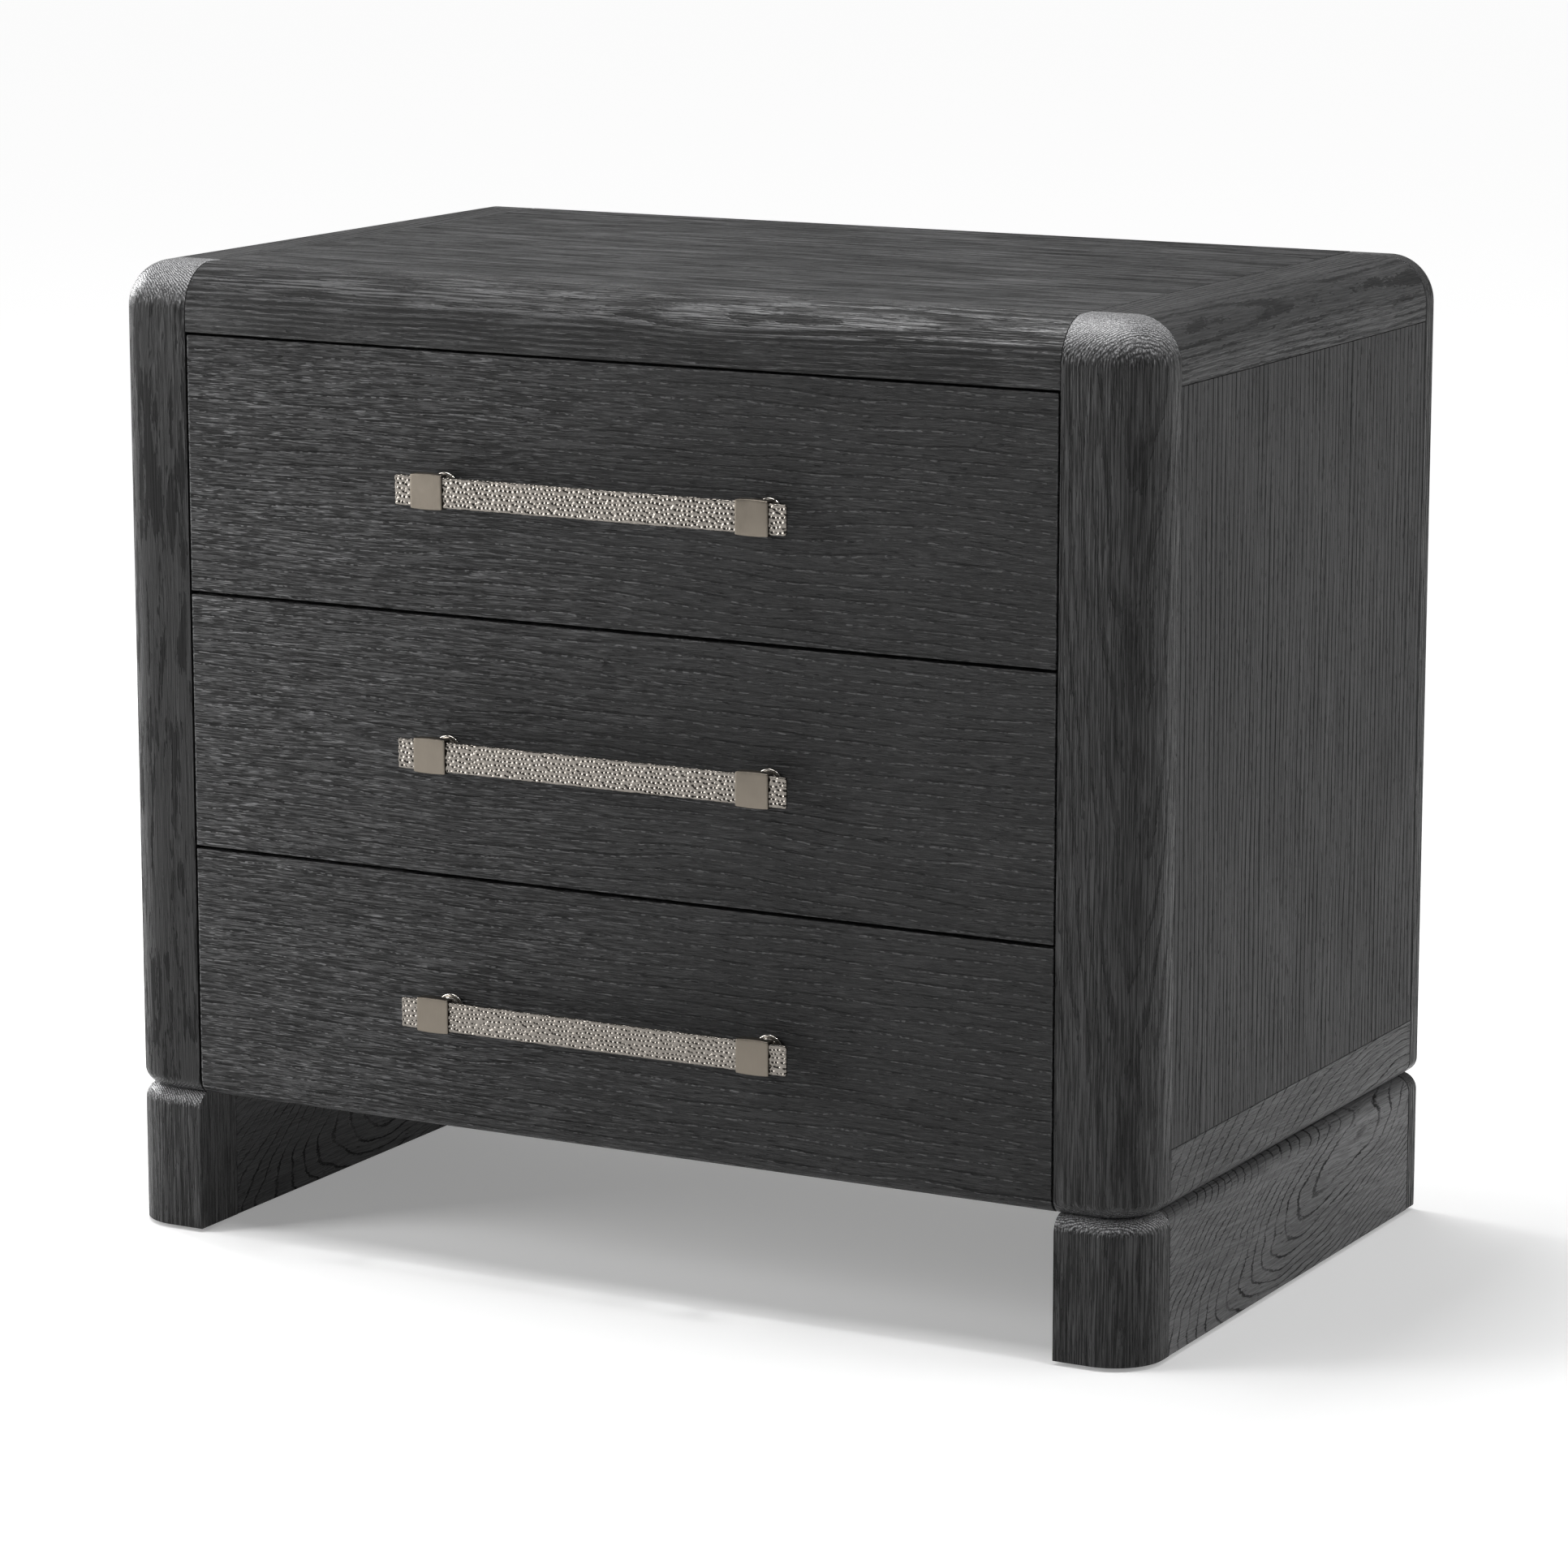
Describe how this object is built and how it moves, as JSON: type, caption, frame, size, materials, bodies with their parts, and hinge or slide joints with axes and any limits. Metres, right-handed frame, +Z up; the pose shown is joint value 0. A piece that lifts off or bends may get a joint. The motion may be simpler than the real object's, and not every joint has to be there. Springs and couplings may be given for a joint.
{
  "type": "nightstand with drawers",
  "caption": "Wide low nightstand in dark brushed oak with rounded corners, drawers that slide out, hammered bar pulls and two sled bases.",
  "frame": {"origin": "middle of the footprint, pulls included, on the floor under the glides", "axes": "+X along the width to the nightstand's right seen from the front, +Y from the drawer fronts towards the back, +Z up"},
  "size_m": [0.813, 0.5066, 0.7035],
  "materials": {
    "brushed_oak": "charcoal stain, wire-brushed open grain, satin lacquer",
    "oak_veneer": "charcoal stain, wire-brushed straight-grain oak veneer, satin lacquer",
    "drawer_box_wood": "dark grey-brown stained hardwood, satin",
    "stained_plywood": "dark stained plywood, satin",
    "slide_steel": "zinc-plated rolled steel",
    "hammered_nickel": "hand-hammered warm nickel, polished dimples",
    "satin_nickel": "fine brushed warm nickel",
    "nylon": "black nylon"
  },
  "bodies": {
    "case": {"top_panel": "oak_veneer", "front_top_rail": "brushed_oak", "left_top_rail": "brushed_oak", "right_top_rail": "brushed_oak", "front_left_post": "brushed_oak", "front_right_post": "brushed_oak", "back_left_post": "brushed_oak", "back_right_post": "brushed_oak", "left_side_panel": "oak_veneer", "right_side_panel": "oak_veneer", "left_bottom_rail": "brushed_oak", "right_bottom_rail": "brushed_oak", "back_panel": "stained_plywood", "bottom_panel": "stained_plywood", "left_base_front_block": "brushed_oak", "left_base_board": "brushed_oak", "left_base_back_block": "brushed_oak", "right_base_front_block": "brushed_oak", "right_base_board": "brushed_oak", "right_base_back_block": "brushed_oak", "left_front_glide": "nylon", "left_back_glide": "nylon", "right_front_glide": "nylon", "right_back_glide": "nylon", "top_case_left_slide": "slide_steel", "top_case_right_slide": "slide_steel", "middle_case_left_slide": "slide_steel", "middle_case_right_slide": "slide_steel", "bottom_case_left_slide": "slide_steel", "bottom_case_right_slide": "slide_steel"},
    "top_drawer": {"top_drawer_front": "oak_veneer", "top_drawer_left_side": "drawer_box_wood", "top_drawer_right_side": "drawer_box_wood", "top_drawer_back": "drawer_box_wood", "top_drawer_bottom": "stained_plywood", "top_drawer_left_slide": "slide_steel", "top_drawer_right_slide": "slide_steel", "top_pull_strap": "hammered_nickel", "top_pull_left_post": "satin_nickel", "top_pull_right_post": "satin_nickel"},
    "middle_drawer": {"middle_drawer_front": "oak_veneer", "middle_drawer_left_side": "drawer_box_wood", "middle_drawer_right_side": "drawer_box_wood", "middle_drawer_back": "drawer_box_wood", "middle_drawer_bottom": "stained_plywood", "middle_drawer_left_slide": "slide_steel", "middle_drawer_right_slide": "slide_steel", "middle_pull_strap": "hammered_nickel", "middle_pull_left_post": "satin_nickel", "middle_pull_right_post": "satin_nickel"},
    "bottom_drawer": {"bottom_drawer_front": "oak_veneer", "bottom_drawer_left_side": "drawer_box_wood", "bottom_drawer_right_side": "drawer_box_wood", "bottom_drawer_back": "drawer_box_wood", "bottom_drawer_bottom": "stained_plywood", "bottom_drawer_left_slide": "slide_steel", "bottom_drawer_right_slide": "slide_steel", "bottom_pull_strap": "hammered_nickel", "bottom_pull_left_post": "satin_nickel", "bottom_pull_right_post": "satin_nickel"}
  },
  "joints": [
    {"name": "top_drawer_slide", "type": "slide", "parent": "case", "child": "top_drawer", "axis": [0, -1, 0], "range_m": [0, 0.32]},
    {"name": "middle_drawer_slide", "type": "slide", "parent": "case", "child": "middle_drawer", "axis": [0, -1, 0], "range_m": [0, 0.32]},
    {"name": "bottom_drawer_slide", "type": "slide", "parent": "case", "child": "bottom_drawer", "axis": [0, -1, 0], "range_m": [0, 0.32]}
  ]
}
